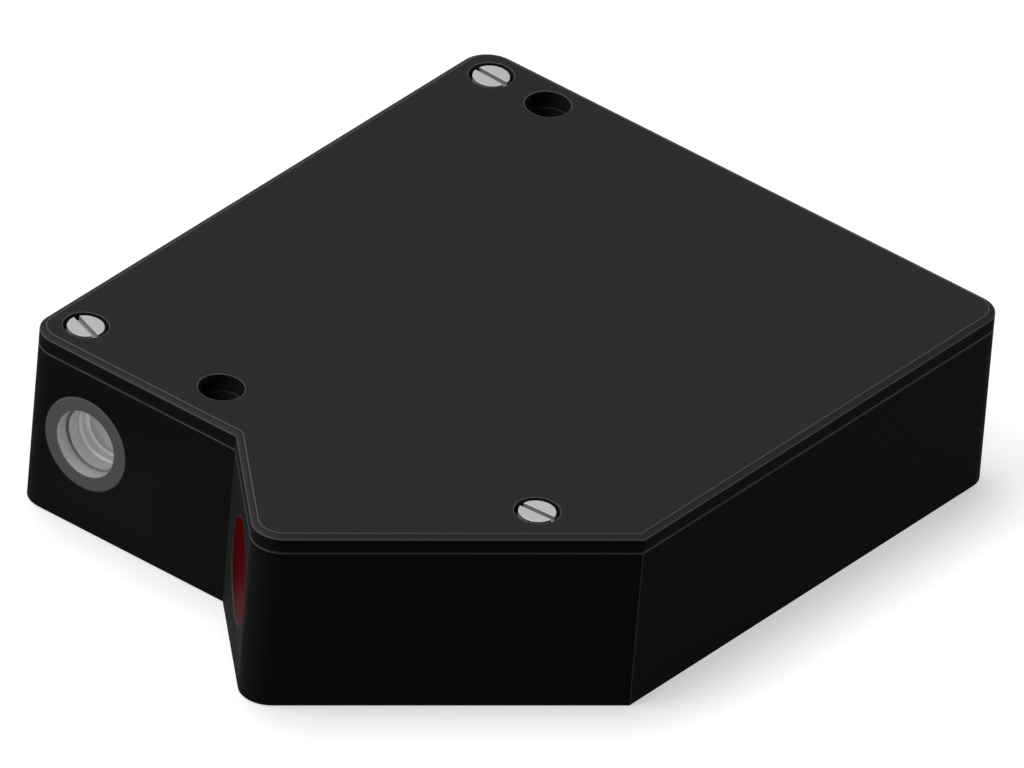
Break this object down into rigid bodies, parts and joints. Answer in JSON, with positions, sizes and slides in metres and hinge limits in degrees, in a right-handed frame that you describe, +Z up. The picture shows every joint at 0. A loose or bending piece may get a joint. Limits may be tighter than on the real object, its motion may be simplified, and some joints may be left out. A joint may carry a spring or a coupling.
{
  "type": "laser displacement sensor",
  "caption": "Flat black metal sensor housing with an angled nose, a laser exit in a bright ring, a red receiver window, slotted lid screws, mounting holes and a round rear connector.",
  "frame": {"origin": "on the plane of the base, under the middle of the bounding box from the nose to the connector's end", "axes": "+Z up through the thickness, +Y from the laser face to the rear wall and out of the connector, +X from the laser side to the receiver side"},
  "size_m": [0.1, 0.1352, 0.03],
  "materials": {
    "black_anodised_aluminium": "fine blasted, black anodised",
    "stainless_steel": "turned, satin",
    "turned_metal": "turned, satin",
    "plain_aluminium": "milled",
    "black_barrel_aluminium": "matt black anodised",
    "clear_glass": "polished, coated",
    "red_filter_glass": "polished",
    "brass": "turned",
    "gold_plate": "gold plated",
    "nickel_plated_brass": "nickel plated",
    "dark_steel": "black oxide",
    "black_rubber": "moulded",
    "black_plastic": "moulded",
    "chip_plastic": "moulded",
    "cream_plastic": "moulded",
    "capacitor_plastic": "moulded",
    "circuit_board": "green solder mask",
    "dark_ceramic": "fired",
    "ferrite": "pressed",
    "amber_film": "smooth film"
  },
  "bodies": {
    "root": {"housing": "black_anodised_aluminium", "lid": "black_anodised_aluminium", "lid_gasket": "black_rubber", "cover_screws": "stainless_steel", "laser_bezel": "turned_metal", "laser_barrel": "turned_metal", "laser_lock_ring": "turned_metal", "collimating_lens": "clear_glass", "diode_holder": "brass", "laser_diode": "gold_plate", "laser_driver_board": "circuit_board", "receiver_window": "red_filter_glass", "receiver_barrel": "black_barrel_aluminium", "receiver_front_lens": "clear_glass", "receiver_lock_ring": "black_barrel_aluminium", "light_hood": "black_plastic", "grub_screws": "dark_steel", "image_sensor": "dark_ceramic", "sensor_cover_glass": "clear_glass", "detector_board": "circuit_board", "detector_bracket": "plain_aluminium", "main_board": "circuit_board", "processor_chip": "chip_plastic", "interface_chips": "chip_plastic", "power_inductors": "ferrite", "filter_capacitors": "capacitor_plastic", "board_headers": "cream_plastic", "laser_lead": "amber_film", "detector_lead": "amber_film", "signal_lead": "amber_film", "connector_shell": "nickel_plated_brass", "connector_nut": "nickel_plated_brass", "connector_insert": "black_plastic", "connector_contacts": "gold_plate", "contact_board": "circuit_board"}
  },
  "joints": []
}
